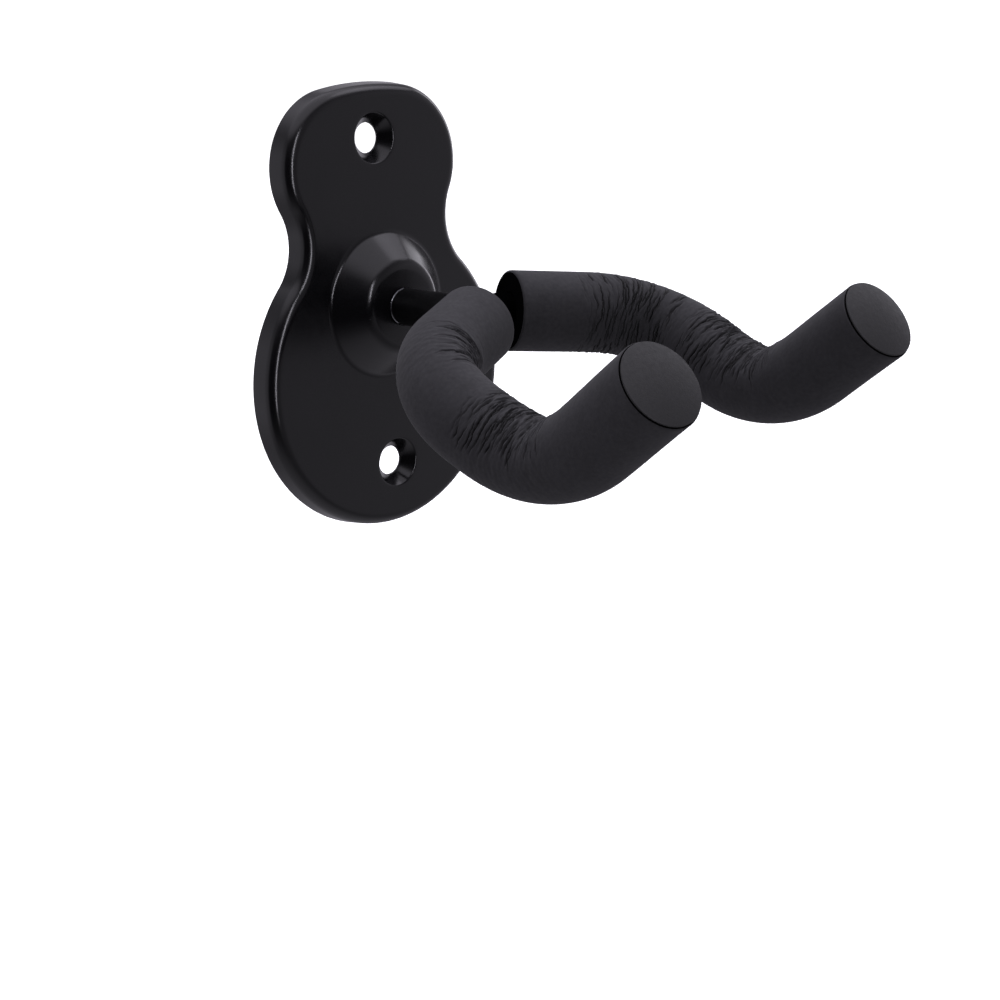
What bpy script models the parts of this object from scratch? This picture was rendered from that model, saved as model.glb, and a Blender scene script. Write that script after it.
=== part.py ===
"""Wall guitar hanger: a stamped steel wall plate carries a swivelling yoke with two foam-covered arms.

Metres, +Z up. The origin is where the swivel axis meets the wall. The wall is behind, at +Y, so the
front of the plate faces -Y and the arms reach out towards -Y. Left is -X and right is +X.
"""

import math

import bmesh
import bpy
from mathutils import Matrix, Vector

MM = 0.001
GAP = 0.3 * MM  # between pieces that touch
CLEAR = 1.5 * MM  # how far a cutter stands clear of what it cuts

# Wall plate: pressed sheet with a turned-back skirt. Heights are measured from the wall.
SHEET = 1.5 * MM
PLATE_HEIGHT = 6.1 * MM
EDGE_RADIUS = 2.8 * MM
SKIRT_FLARE = 0.7 * MM  # how much wider all round the skirt's rim is than the front
LOWER_Z, LOWER_RADIUS = -17.5 * MM, 35.6 * MM
SHOULDER_X, SHOULDER_Z, SHOULDER_RADIUS = 8.2 * MM, 32.35 * MM, 17.35 * MM
WAIST_RADIUS = 15.3 * MM
CROWN_RADIUS = 74.0 * MM

# Dome pressed into the plate round the swivel
DOME_HEIGHT = 12.5 * MM
DOME_FLAT_RADIUS = 8.5 * MM
DOME_SHOULDER_RADIUS = 4.0 * MM
DOME_SLOPE = math.radians(43)
DOME_HOLE_RADIUS = 4.5 * MM

# Countersunk screw dimples
SCREW_Z = (38.5 * MM, -38.5 * MM)
DIMPLE_RADIUS = 5.85 * MM
SCREW_HOLE_RADIUS = 3.5 * MM
DIMPLE_DEPTH = 2.9 * MM

# Stem, which turns in the bush in the dome, and what holds it from behind
STEM_RADIUS = 4.35 * MM
JOURNAL_RADIUS = 3.0 * MM
BORE_RADIUS = JOURNAL_RADIUS + GAP
BUSH_FLANGE_RADIUS = 5.5 * MM
BUSH_FLANGE = 0.7 * MM
WASHER_RADIUS = 6.0 * MM
WASHER = 1.0 * MM
WAVE_WASHER = 0.5 * MM
WAVE_HEIGHT = 0.2 * MM
WAVES = 3
NUT_ACROSS_FLATS = 10.0 * MM
NUT_HEIGHT = 4.4 * MM
NUT_COLLAR_RADIUS = 4.6 * MM
NUT_COLLAR = 1.5 * MM
INSERT_RADIUS = 3.9 * MM
INSERT = 1.0 * MM
STUD_END = 1.0 * MM
STUD_CHAMFER = 0.4 * MM

# Yoke: one rod, bent twice in each arm. The corners are where its straight stretches would meet.
ROD_RADIUS = 4.0 * MM
YOKE_CENTRE = Vector((0.0, -41.8, 1.8)) * MM
FIRST_CORNER = Vector((37.3, -57.0, -4.4)) * MM
SECOND_CORNER = Vector((34.5, -90.7, -20.9)) * MM
ARM_END = Vector((35.5, -119.0, 0.6)) * MM
BEND_RADII = (25.0 * MM, 27.3 * MM)
BEND_STEP = math.radians(6)
YOKE_TURN = math.radians(-1.0)  # the yoke swivels, and hangs this far off level
WELD_RADIUS = 5.1 * MM
WELD_LENGTH = 2.2 * MM

# Foam sleeves, pushed on by hand: the left one sits a little further out than the right one
FOAM_RADIUS = 9.0 * MM
FOAM_BORE_RADIUS = 4.3 * MM
SLEEVE_START = {"right": 4.0 * MM, "left": 8.8 * MM}
SLEEVE_BEYOND = {"right": 0.0 * MM, "left": 3.3 * MM}
CAP_RADIUS = 8.8 * MM
CAP_RIM = 0.7 * MM
CAP_CROWN = 0.5 * MM
PLUG_RADIUS = 4.0 * MM
PLUG_LENGTH = 5.0 * MM

TURN_STEPS = 48
SIDE = {"right": 1.0, "left": -1.0}
BLACK_PAINT = {"colour": (0.018, 0.018, 0.020), "roughness": 0.32, "metallic": 0.0}
BLACK_STEEL = {"colour": (0.015, 0.015, 0.016), "roughness": 0.4, "metallic": 0.0}
ZINC = {"colour": (0.62, 0.63, 0.65), "roughness": 0.3, "metallic": 1.0}
WELD_STEEL = {"colour": (0.05, 0.05, 0.05), "roughness": 0.5, "metallic": 0.6}
NYLON = {"colour": (0.75, 0.76, 0.72), "roughness": 0.5, "metallic": 0.0}
FOAM = {"colour": (0.020, 0.020, 0.022), "roughness": 0.9, "metallic": 0.0}
CAP_FOAM = {"colour": (0.026, 0.026, 0.028), "roughness": 0.85, "metallic": 0.0}

FACING_FRONT = Matrix.Rotation(math.radians(90), 4, "X")  # local +Z becomes -Y, local +Y becomes +Z


# ---------------------------------------------------------------- scene and helpers


def clear_scene():
    for obj in list(bpy.data.objects):
        bpy.data.objects.remove(obj)
    for collection in list(bpy.data.collections):
        bpy.data.collections.remove(collection)


def new_collection(name, parent, hidden=False):
    collection = bpy.data.collections.new(name)
    collection.hide_render = hidden
    parent.children.link(collection)
    return collection


def material(name, finish):
    made = bpy.data.materials.new(name)
    made.use_nodes = True
    shader = made.node_tree.nodes["Principled BSDF"]
    shader.inputs["Base Color"].default_value = (*finish["colour"], 1.0)
    shader.inputs["Roughness"].default_value = finish["roughness"]
    shader.inputs["Metallic"].default_value = finish["metallic"]
    made.diffuse_color = (*finish["colour"], 1.0)
    return made


def add_object(name, data, collection):
    obj = bpy.data.objects.new(name, data)
    collection.objects.link(obj)
    return obj


def as_cutter(obj):
    obj.hide_render = True
    obj.display_type = "WIRE"
    return obj


def as_part(obj, finish):
    obj.data.materials.clear()
    obj.data.materials.append(material(obj.name, finish))
    return obj


def shade(obj, angle=math.radians(35)):
    obj.data.shade_smooth()
    obj.data.set_sharp_from_angle(angle=angle)


def mesh_from(curve_object, collection):
    """The curve's evaluated shape as a mesh object, its end caps welded on."""
    bpy.context.view_layer.update()
    graph = bpy.context.evaluated_depsgraph_get()
    mesh = bpy.data.meshes.new_from_object(curve_object.evaluated_get(graph))
    shape = bmesh.new()
    shape.from_mesh(mesh)
    bmesh.ops.remove_doubles(shape, verts=shape.verts, dist=0.001 * MM)
    bmesh.ops.recalc_face_normals(shape, faces=shape.faces)
    shape.to_mesh(mesh)
    shape.free()
    name, place = curve_object.name, curve_object.matrix_world.copy()
    bpy.data.objects.remove(curve_object)
    made = add_object(name, mesh, collection)
    made.matrix_world = place
    return made


def boolean(obj, operation, other):
    """Joins or cuts with one object, or with every object of a collection at once."""
    modifier = obj.modifiers.new(f"{operation.lower()} {other.name}", "BOOLEAN")
    modifier.operation = operation
    modifier.solver = "EXACT"
    if isinstance(other, bpy.types.Collection):
        modifier.operand_type = "COLLECTION"
        modifier.collection = other
    else:
        modifier.object = other


def turned(name, profile, collection, place=FACING_FRONT, closed=False):
    """A turned solid from (radius, height) points that run down its outer side."""
    count = len(profile)
    edges = [(i, i + 1) for i in range(count - 1)]
    if closed:
        edges.append((count - 1, 0))
    mesh = bpy.data.meshes.new(name)
    mesh.from_pydata([(radius, 0.0, height) for radius, height in profile], edges, [])
    obj = add_object(name, mesh, collection)
    obj.matrix_world = place
    screw = obj.modifiers.new("turn", "SCREW")
    screw.steps = screw.render_steps = TURN_STEPS
    screw.use_merge_vertices = True
    screw.merge_threshold = 0.00001
    screw.use_smooth_shade = True
    return obj


def ring(name, inner, outer, bottom, top, collection):
    profile = [(outer, top), (outer, bottom), (inner, bottom), (inner, top)]
    return turned(name, profile, collection, closed=True)


def arc(centre, radius, start, end, step):
    """Points along an arc, both ends included, with the angles in radians."""
    count = max(2, round(abs(end - start) / step))
    angles = [start + (end - start) * i / count for i in range(count + 1)]
    return [(centre[0] + radius * math.cos(a), centre[1] + radius * math.sin(a)) for a in angles]


# ---------------------------------------------------------------- wall plate


def plate_outline(inset=0.0, step=math.radians(6)):
    """The closed guitar-shaped outline in (x, z): four tangent arcs a side, moved in by inset."""
    lower = Vector((0.0, LOWER_Z))
    shoulder = Vector((SHOULDER_X, SHOULDER_Z))
    # The waist arc touches the lower and the shoulder arcs from outside
    to_lower, to_shoulder = LOWER_RADIUS + WAIST_RADIUS, SHOULDER_RADIUS + WAIST_RADIUS
    between = shoulder - lower
    along = (to_lower**2 - to_shoulder**2 + between.length_squared) / (2 * between.length)
    aside = math.sqrt(to_lower**2 - along**2)
    direction = between.normalized()
    waist = lower + direction * along + Vector((direction.y, -direction.x)) * aside
    # The crown arc touches the shoulder arc from inside
    drop = math.sqrt((CROWN_RADIUS - SHOULDER_RADIUS) ** 2 - SHOULDER_X**2)
    crown = Vector((0.0, SHOULDER_Z - drop))

    def bearing(a, b):
        return math.atan2(b.y - a.y, b.x - a.x)

    low_turn = bearing(lower, waist)
    waist_in, waist_out = bearing(waist, lower), bearing(waist, shoulder)
    high_turn, crown_turn = bearing(shoulder, waist), bearing(crown, shoulder)
    half = arc(lower, LOWER_RADIUS - inset, -math.pi / 2, low_turn, step)
    half += arc(waist, WAIST_RADIUS + inset, waist_in % math.tau, waist_out % math.tau, step)[1:]
    half += arc(shoulder, SHOULDER_RADIUS - inset, high_turn, crown_turn, step)[1:]
    half += arc(crown, CROWN_RADIUS - inset, crown_turn, math.pi / 2, step / 2)[1:]
    return half + [(-x, z) for x, z in reversed(half[1:-1])]


def slab(name, inset, front, back, rounding, collection):
    """A solid of the plate's outline between two heights, flared at its back and rounded in front."""
    curve = bpy.data.curves.new(name, "CURVE")
    curve.dimensions = "2D"
    curve.fill_mode = "BOTH"
    curve.extrude = (front - back) / 2
    outline = plate_outline(inset)
    spline = curve.splines.new("POLY")
    spline.points.add(len(outline) - 1)
    for point, (x, z) in zip(spline.points, outline, strict=True):
        point.co = (x, z, 0.0, 1.0)
    spline.use_cyclic_u = True
    obj = add_object(name, curve, collection)
    obj.matrix_world = Matrix.Translation((0.0, -(front + back) / 2, 0.0)) @ FACING_FRONT
    obj = mesh_from(obj, collection)
    shape = bmesh.new()
    shape.from_mesh(obj.data)
    # The back outline is the front one, spread outwards
    spread = SKIRT_FLARE * (1 - back / PLATE_HEIGHT)
    wider = plate_outline(inset - spread)
    for vertex in shape.verts:
        if vertex.co.z < 0:
            place = vertex.co.xy.copy()
            index = min(range(len(outline)), key=lambda i: (Vector(outline[i]) - place).length)
            vertex.co.xy = wider[index]
    for level in (-1, 1):
        caps = [f for f in shape.faces if f.normal.z * level > 0.9]
        bmesh.ops.dissolve_faces(shape, faces=caps)
    shape.faces.ensure_lookup_table()
    front_face = next(f for f in shape.faces if f.normal.z > 0.9)
    bmesh.ops.bevel(
        shape,
        geom=list(front_face.edges),
        offset=rounding,
        offset_type="OFFSET",
        segments=4,
        profile=0.5,
        affect="EDGES",
    )
    shape.to_mesh(obj.data)
    shape.free()
    return obj


def dome_profile(inside):
    """The dome's outer or inner surface, closed at the axis below the sheet's surface."""
    top = DOME_HEIGHT - inside
    radius = DOME_SHOULDER_RADIUS - inside
    centre = (DOME_FLAT_RADIUS, top - radius)
    shoulder = arc(centre, radius, math.pi / 2, math.pi / 2 - DOME_SLOPE, math.radians(8))
    foot = PLATE_HEIGHT - SHEET / 2 - inside
    x, z = shoulder[-1]
    base = (x + (z - foot) / math.tan(DOME_SLOPE), foot)
    return [(0.0, top), *shoulder, base, (0.0, foot)]


def make_wall_plate(parts, cutters):
    plate = slab("wall_plate", 0.0, PLATE_HEIGHT, 0.0, EDGE_RADIUS, parts)
    hollow = slab("hollow", SHEET, PLATE_HEIGHT - SHEET, -CLEAR, EDGE_RADIUS - SHEET, cutters)
    dome = turned("dome_outside", dome_profile(0.0), cutters)
    dome_hollow = turned("dome_inside", dome_profile(SHEET), cutters)
    boolean(plate, "UNION", as_cutter(dome))
    boolean(plate, "DIFFERENCE", as_cutter(hollow))
    boolean(plate, "DIFFERENCE", as_cutter(dome_hollow))
    slope = (DIMPLE_RADIUS - SCREW_HOLE_RADIUS) / DIMPLE_DEPTH
    wall = SHEET * math.hypot(1.0, slope)  # the cone wall's thickness, measured along its radius
    cup_top = PLATE_HEIGHT - SHEET / 2
    cup_foot = PLATE_HEIGHT - DIMPLE_DEPTH - SHEET * 0.7
    above = DIMPLE_RADIUS + slope * CLEAR
    holes = new_collection("holes", cutters, hidden=True)
    for index, z in enumerate(SCREW_Z):
        place = Matrix.Translation((0.0, 0.0, z)) @ FACING_FRONT
        cup_profile = [(0.0, cup_top)]
        for height in (cup_top, cup_foot):
            cup_profile.append((DIMPLE_RADIUS + wall - (PLATE_HEIGHT - height) * slope, height))
        cup_profile.append((0.0, cup_foot))
        cup = turned(f"dimple_{index}", cup_profile, cutters, place)
        hole_profile = [
            (0.0, PLATE_HEIGHT + CLEAR),
            (above, PLATE_HEIGHT + CLEAR),
            (SCREW_HOLE_RADIUS, PLATE_HEIGHT - DIMPLE_DEPTH),
            (SCREW_HOLE_RADIUS, 0.0),
            (0.0, 0.0),
        ]
        as_cutter(turned(f"screw_hole_{index}", hole_profile, holes, place))
        boolean(plate, "UNION", as_cutter(cup))
    stem_hole_profile = [
        (0.0, DOME_HEIGHT + CLEAR),
        (DOME_HOLE_RADIUS, DOME_HEIGHT + CLEAR),
        (DOME_HOLE_RADIUS, DOME_HEIGHT - 2 * SHEET),
        (0.0, DOME_HEIGHT - 2 * SHEET),
    ]
    as_cutter(turned("stem_hole", stem_hole_profile, holes))
    boolean(plate, "DIFFERENCE", holes)
    as_part(plate, BLACK_PAINT)
    shade(plate)


# ---------------------------------------------------------------- swivel


def make_bush(parts):
    """A flanged bush: its sleeve lines the hole up to the dome's top, with its flange behind."""
    flange_top = DOME_HEIGHT - SHEET - GAP
    sleeve_radius = DOME_HOLE_RADIUS - GAP
    profile = [
        (sleeve_radius, DOME_HEIGHT),
        (sleeve_radius, flange_top),
        (BUSH_FLANGE_RADIUS, flange_top),
        (BUSH_FLANGE_RADIUS, flange_top - BUSH_FLANGE),
        (BORE_RADIUS, flange_top - BUSH_FLANGE),
        (BORE_RADIUS, DOME_HEIGHT),
    ]
    as_part(turned("stem_bush", profile, parts, closed=True), ZINC)
    return flange_top - BUSH_FLANGE - GAP


def make_washers(top, parts):
    """The flat thrust washer behind the bush and the wave washer behind it. Returns the nut's height."""
    washer = ring("thrust_washer", BORE_RADIUS, WASHER_RADIUS, top - WASHER, top, parts)
    as_part(washer, ZINC)
    crest = top - WASHER - GAP - WAVE_HEIGHT
    outer = WASHER_RADIUS - GAP
    wave = ring("wave_washer", BORE_RADIUS, outer, crest - WAVE_WASHER, crest, parts)
    as_part(wave, ZINC)
    bpy.context.view_layer.update()
    graph = bpy.context.evaluated_depsgraph_get()
    flat = bpy.data.meshes.new_from_object(wave.evaluated_get(graph))
    for vertex in flat.vertices:
        angle = math.atan2(vertex.co.y, vertex.co.x)
        vertex.co.z += WAVE_HEIGHT * math.cos(WAVES * angle)
    wave.modifiers.clear()
    wave.data = flat
    return crest - WAVE_WASHER - WAVE_HEIGHT - GAP


def make_lock_nut(top, parts, cutters):
    """A hexagon nut with a round collar, and the nylon ring that the collar holds on the stud."""
    shape = bmesh.new()
    bmesh.ops.create_cone(
        shape,
        cap_ends=True,
        segments=6,
        radius1=NUT_ACROSS_FLATS / math.sqrt(3),
        radius2=NUT_ACROSS_FLATS / math.sqrt(3),
        depth=NUT_HEIGHT,
    )
    mesh = bpy.data.meshes.new("lock_nut")
    shape.to_mesh(mesh)
    shape.free()
    nut = add_object("lock_nut", mesh, parts)
    nut.matrix_world = Matrix.Translation((0.0, NUT_HEIGHT / 2 - top, 0.0)) @ FACING_FRONT
    foot = top - NUT_HEIGHT - NUT_COLLAR
    corner = NUT_ACROSS_FLATS / math.sqrt(3)
    chamfer = corner - NUT_ACROSS_FLATS / 2
    # One turned shape both trims the corners and forms the collar
    envelope_profile = [
        (0.0, top + chamfer),
        (NUT_ACROSS_FLATS / 2 - chamfer, top + chamfer),
        (corner + chamfer, top - chamfer),
        (corner + chamfer, top - NUT_HEIGHT + chamfer / 2),
        (NUT_ACROSS_FLATS / 2 - chamfer, top - NUT_HEIGHT - chamfer / 2),
        (0.0, top - NUT_HEIGHT - chamfer / 2),
    ]
    envelope = turned("nut_envelope", envelope_profile, cutters)
    collar_profile = [
        (0.0, top - NUT_HEIGHT / 2),
        (NUT_COLLAR_RADIUS, top - NUT_HEIGHT / 2),
        (NUT_COLLAR_RADIUS, foot + GAP),
        (NUT_COLLAR_RADIUS - GAP, foot),
        (0.0, foot),
    ]
    collar = turned("nut_collar", collar_profile, cutters)
    recess = foot + INSERT + 2 * GAP
    bore_profile = [
        (0.0, top + SHEET),
        (BORE_RADIUS, top + SHEET),
        (BORE_RADIUS, recess),
        (INSERT_RADIUS + GAP, recess),
        (INSERT_RADIUS + GAP, foot - SHEET),
        (0.0, foot - SHEET),
    ]
    bore = turned("nut_bore", bore_profile, cutters)
    boolean(nut, "INTERSECT", as_cutter(envelope))
    boolean(nut, "UNION", as_cutter(collar))
    boolean(nut, "DIFFERENCE", as_cutter(bore))
    as_part(nut, ZINC)
    shade(nut, math.radians(25))
    insert = ring("nut_insert", BORE_RADIUS, INSERT_RADIUS, foot + GAP, foot + GAP + INSERT, parts)
    as_part(insert, NYLON)
    return [nut, insert]


# ---------------------------------------------------------------- yoke


def arm_path(side, start=0.0, beyond=0.0, step=BEND_STEP):
    """Points along one arm's centre line, from a distance along it to its end or beyond it."""
    flip = Vector((SIDE[side], 1.0, 1.0))
    corners = [YOKE_CENTRE * flip, FIRST_CORNER * flip, SECOND_CORNER * flip, ARM_END * flip]
    first = (corners[1] - corners[0]).normalized()
    last = (corners[3] - corners[2]).normalized()
    points = [corners[0] + first * start]
    for before, corner, after, radius in zip(corners, corners[1:], corners[2:], BEND_RADII):
        arriving = (corner - before).normalized()
        leaving = (after - corner).normalized()
        turn = arriving.angle(leaving)
        inward = (leaving - arriving * arriving.dot(leaving)).normalized()
        begin = corner - arriving * radius * math.tan(turn / 2)
        count = math.ceil(turn / step)
        for i in range(count + 1):
            angle = turn * i / count
            points.append(
                begin + arriving * radius * math.sin(angle) + inward * radius * (1 - math.cos(angle))
            )
    points.append(corners[3] + last * beyond)
    return points


def tube(name, points, radius, collection, resolution):
    curve = bpy.data.curves.new(name, "CURVE")
    curve.dimensions = "3D"
    curve.bevel_depth = radius
    curve.bevel_resolution = resolution
    curve.use_fill_caps = True
    spline = curve.splines.new("POLY")
    spline.points.add(len(points) - 1)
    for point, place in zip(spline.points, points, strict=True):
        point.co = (*place, 1.0)
    return mesh_from(add_object(name, curve, collection), collection)


def make_stem(rod_space, parts):
    """The stem: a shoulder against the bush, a journal through it and a threaded stud behind."""
    shoulder = DOME_HEIGHT + GAP
    front = -YOKE_CENTRE.y - ROD_RADIUS * 0.6
    profile = [
        (0.0, front),
        (STEM_RADIUS, front),
        (STEM_RADIUS, shoulder + GAP),
        (STEM_RADIUS - GAP, shoulder),
        (JOURNAL_RADIUS, shoulder),
        (JOURNAL_RADIUS, STUD_END + STUD_CHAMFER),
        (JOURNAL_RADIUS - STUD_CHAMFER, STUD_END),
        (0.0, STUD_END),
    ]
    stem = turned("stem", profile, parts)
    boolean(stem, "DIFFERENCE", rod_space)
    as_part(stem, BLACK_STEEL)
    back = -YOKE_CENTRE.y - ROD_RADIUS - WELD_LENGTH / 2
    inner = STEM_RADIUS + GAP
    weld_profile = [
        (WELD_RADIUS, back + WELD_LENGTH),
        (WELD_RADIUS, back + WELD_LENGTH / 3),
        (inner + GAP / 2, back),
        (inner, back),
        (inner, back + WELD_LENGTH),
    ]
    weld = turned("weld_bead", weld_profile, parts, closed=True)
    boolean(weld, "DIFFERENCE", rod_space)
    as_part(weld, WELD_STEEL)
    return [stem, weld]


def make_rod(parts, cutters):
    """The bent rod, and the space it takes with its gap, which the stem and its weld are cut to."""
    left, right = (
        arm_path(side, beyond=-(PLUG_LENGTH + 2 * GAP)) for side in ("left", "right")
    )
    points = [*reversed(left), *right[1:]]
    rod = tube("yoke_rod", points, ROD_RADIUS, parts, 6)
    as_part(rod, BLACK_STEEL)
    shade(rod)
    space = tube("rod_space", points, ROD_RADIUS + GAP, cutters, 6)
    return rod, as_cutter(space)


def make_sleeve(side, parts, cutters):
    """One foam sleeve and the cap whose plug closes its outer end."""
    start, beyond = SLEEVE_START[side], SLEEVE_BEYOND[side]
    sleeve_points = arm_path(side, start, beyond)
    sleeve = tube(f"foam_sleeve_{side}", sleeve_points, FOAM_RADIUS, parts, 8)
    bore_points = arm_path(side, start - SHEET, beyond + SHEET, 1.5 * BEND_STEP)
    bore = tube(f"sleeve_bore_{side}", bore_points, FOAM_BORE_RADIUS, cutters, 5)
    boolean(sleeve, "DIFFERENCE", as_cutter(bore))
    as_part(sleeve, FOAM)
    shade(sleeve)
    end, before = arm_path(side, start, beyond)[-1:-3:-1]
    outward = (end - before).normalized()
    place = Matrix.Translation(end) @ outward.to_track_quat("Z", "Y").to_matrix().to_4x4()
    rim = GAP + CAP_RIM
    crown = [(CAP_RADIUS * t, rim + CAP_CROWN * (1 - t * t)) for t in (0.0, 0.33, 0.66, 0.95)]
    profile = [
        *crown,
        (CAP_RADIUS, rim - GAP),
        (CAP_RADIUS, GAP),
        (PLUG_RADIUS, GAP),
        (PLUG_RADIUS, GAP - PLUG_LENGTH),
        (PLUG_RADIUS - GAP, -PLUG_LENGTH),
        (0.0, -PLUG_LENGTH),
    ]
    cap = turned(f"end_cap_{side}", profile, parts, place)
    as_part(cap, CAP_FOAM)
    return [sleeve, cap]


# ---------------------------------------------------------------- assembly


def main():
    clear_scene()
    top = bpy.context.scene.collection
    parts = new_collection("wall_guitar_hanger", top)
    cutters = new_collection("cutters", top, hidden=True)
    make_wall_plate(parts, cutters)
    nut_top = make_washers(make_bush(parts), parts)
    rod, rod_space = make_rod(parts, cutters)
    turning = [rod, rod_space, *make_lock_nut(nut_top, parts, cutters)]
    turning += make_stem(rod_space, parts)
    for side in SIDE:
        turning += make_sleeve(side, parts, cutters)
    turning += [obj for obj in cutters.objects if obj.name.startswith(("nut_", "sleeve_bore"))]
    turning.append(bpy.data.objects["wave_washer"])
    swivel = add_object("yoke_swivel", None, parts)
    for obj in turning:
        obj.parent = swivel
    swivel.rotation_euler = (0.0, YOKE_TURN, 0.0)


main()
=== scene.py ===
"""Looks of the wall guitar hanger: its painted plate, its swivel, and its two creased foam sleeves."""

import math

import bmesh
import bpy
import numpy as np
from mathutils import Matrix, Vector
from mathutils.geometry import delaunay_2d_cdt


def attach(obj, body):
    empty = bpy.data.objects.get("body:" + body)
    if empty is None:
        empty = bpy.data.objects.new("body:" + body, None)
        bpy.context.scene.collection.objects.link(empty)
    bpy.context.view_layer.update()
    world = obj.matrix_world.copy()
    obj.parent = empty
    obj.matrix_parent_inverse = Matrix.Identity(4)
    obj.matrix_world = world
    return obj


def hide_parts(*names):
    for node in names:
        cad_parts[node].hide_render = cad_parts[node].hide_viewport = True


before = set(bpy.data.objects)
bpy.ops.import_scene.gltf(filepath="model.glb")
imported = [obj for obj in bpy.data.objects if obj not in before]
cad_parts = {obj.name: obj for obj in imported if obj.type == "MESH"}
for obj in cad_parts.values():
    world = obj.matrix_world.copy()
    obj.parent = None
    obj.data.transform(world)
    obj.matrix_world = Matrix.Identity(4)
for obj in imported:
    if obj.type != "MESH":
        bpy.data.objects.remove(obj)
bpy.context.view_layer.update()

MM = 0.001
GAP = 0.3 * MM

# Wall plate. Heights are measured from the wall, which is the plane y = 0.
SHEET = 1.5 * MM
PLATE_HEIGHT = 6.1 * MM
EDGE_RADIUS = 2.8 * MM
SKIRT_FLARE = 0.7 * MM
LOWER_Z, LOWER_RADIUS = -17.5 * MM, 35.6 * MM
SHOULDER_X, SHOULDER_Z, SHOULDER_RADIUS = 8.2 * MM, 32.35 * MM, 17.35 * MM
WAIST_RADIUS = 15.3 * MM
CROWN_RADIUS = 74.0 * MM
OUTLINE_STEP = math.radians(1.0)
SKIRT_STOPS = (0.0, 0.06, 0.35, 0.7)
EDGE_STEPS = 16
FACE_BAND = 0.5 * MM
DOME_HEIGHT = 12.5 * MM
DOME_FLAT_RADIUS = 8.5 * MM
DOME_SHOULDER_RADIUS = 4.0 * MM
DOME_FOOT_RADIUS = 2.0 * MM
DOME_SLOPE = math.radians(43)
DOME_HOLE_RADIUS = 4.5 * MM
DOME_STEPS = 14
SCREW_Z = (38.5 * MM, -38.5 * MM)
DIMPLE_RADIUS = 5.85 * MM
SCREW_HOLE_RADIUS = 3.5 * MM
DIMPLE_DEPTH = 2.9 * MM
DIMPLE_LIP = 0.35 * MM
DIMPLE_BAND = 1.2 * MM
ROUND_STEPS = 96

# Swivel
STEM_RADIUS = 4.35 * MM
JOURNAL_RADIUS = 3.0 * MM
BORE_RADIUS = JOURNAL_RADIUS + GAP
BUSH_FLANGE_RADIUS = 5.5 * MM
BUSH_FLANGE = 0.7 * MM
WASHER_RADIUS = 6.0 * MM
WASHER = 1.0 * MM
WAVE_WASHER = 0.5 * MM
WAVE_HEIGHT = 0.2 * MM
WAVES = 3
NUT_ACROSS_FLATS = 10.0 * MM
NUT_HEIGHT = 4.4 * MM
NUT_CHAMFER = 0.58
NUT_STEPS = 144
NUT_COLLAR_RADIUS = 4.6 * MM
NUT_COLLAR = 1.5 * MM
INSERT_RADIUS = 3.9 * MM
INSERT = 1.0 * MM
STUD_END = 1.0 * MM
THREAD_PITCH = 1.0 * MM
THREAD_DEPTH = 0.5 * MM
THREAD_ROWS = 90

# Yoke
ROD_RADIUS = 4.0 * MM
YOKE_CENTRE = Vector((0.0, -41.8, 1.8)) * MM
FIRST_CORNER = Vector((37.3, -57.0, -4.4)) * MM
SECOND_CORNER = Vector((34.5, -90.7, -20.9)) * MM
ARM_END = Vector((35.5, -119.0, 0.6)) * MM
BEND_RADII = (25.0 * MM, 27.3 * MM)
ROD_MIDDLE_RADIUS = 6.0 * MM
ROD_ROUNDING = 0.5 * MM
ROD_ROWS, ROD_STEPS = 260, 64
YOKE_TURN = math.radians(-1.0)
WELD_THICKNESS = 0.95 * MM
WELD_ROWS, WELD_STEPS = 220, 24
WELD_SEED = 11
SIDE = {"right": 1.0, "left": -1.0}

# Foam
FOAM_RADIUS = 9.0 * MM
FOAM_BORE_RADIUS = 4.3 * MM
SLEEVE_START = {"right": 4.0 * MM, "left": 8.8 * MM}
SLEEVE_BEYOND = {"right": -0.3 * MM, "left": 2.9 * MM}
SLEEVE_ROUNDING = 0.5 * MM
SLEEVE_STEPS = 184
SLEEVE_SEED = {"right": 5, "left": 8}
BORE_ROWS = 40
CREASED_STRETCH = (17.0 * MM, 82.5 * MM)
FINE_STEP = 0.155 * MM
COARSE_STEP = 0.9 * MM
CAP_RADIUS = 8.7 * MM
CAP_RIM = 0.15 * MM
CAP_CROWN = 0.95 * MM
CAP_ROLL = 0.2 * MM
CAP_STEPS = 128
PLUG_RADIUS = 4.0 * MM
PLUG_LENGTH = 5.0 * MM
# Painted shade: the near-black colour that the bottoms of the creases are painted, as though shadowed there
CREASE_SHADE_COLOUR = (0.0012, 0.0012, 0.0013)

# How far each bend's inner side buckles towards the straight line across it
BUCKLE_SHARE = 0.62
CREASES_A_STEP = 5
# Bands of creases: which bend, where along the arm from its middle, how far they reach along the arm and
# round it from the bend's inner side, how far apart they are, and how deep
CREASE_BANDS = {
    "right": (
        (0, -6.0 * MM, 14.0 * MM, 2.1, 0.95 * MM, 0.66 * MM),
        (1, -12.0 * MM, 12.5 * MM, 1.7, 0.9 * MM, 0.6 * MM),
        (1, -1.5 * MM, 6.5 * MM, 1.6, 0.8 * MM, 0.55 * MM),
        (1, 6.0 * MM, 4.0 * MM, 1.3, 1.0 * MM, 0.36 * MM),
    ),
    "left": (
        (0, -1.5 * MM, 8.5 * MM, 2.1, 0.8 * MM, 0.6 * MM),
        (1, -8.0 * MM, 10.5 * MM, 1.6, 0.85 * MM, 0.68 * MM),
        (1, 3.5 * MM, 6.0 * MM, 1.5, 0.9 * MM, 0.42 * MM),
    ),
}

# Studio
FLOOR_Z = -0.5
LAMP_DISTANCE = 1.3
CAMERA_PLACE = Vector((-0.2755, -0.3297, 0.0747))
CAMERA_FORWARD = Vector((0.66248, 0.69439, -0.28098))
CAMERA_UP = Vector((0.2348, 0.1637, 0.9582))
CAMERA_LENS = 65.55
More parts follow.
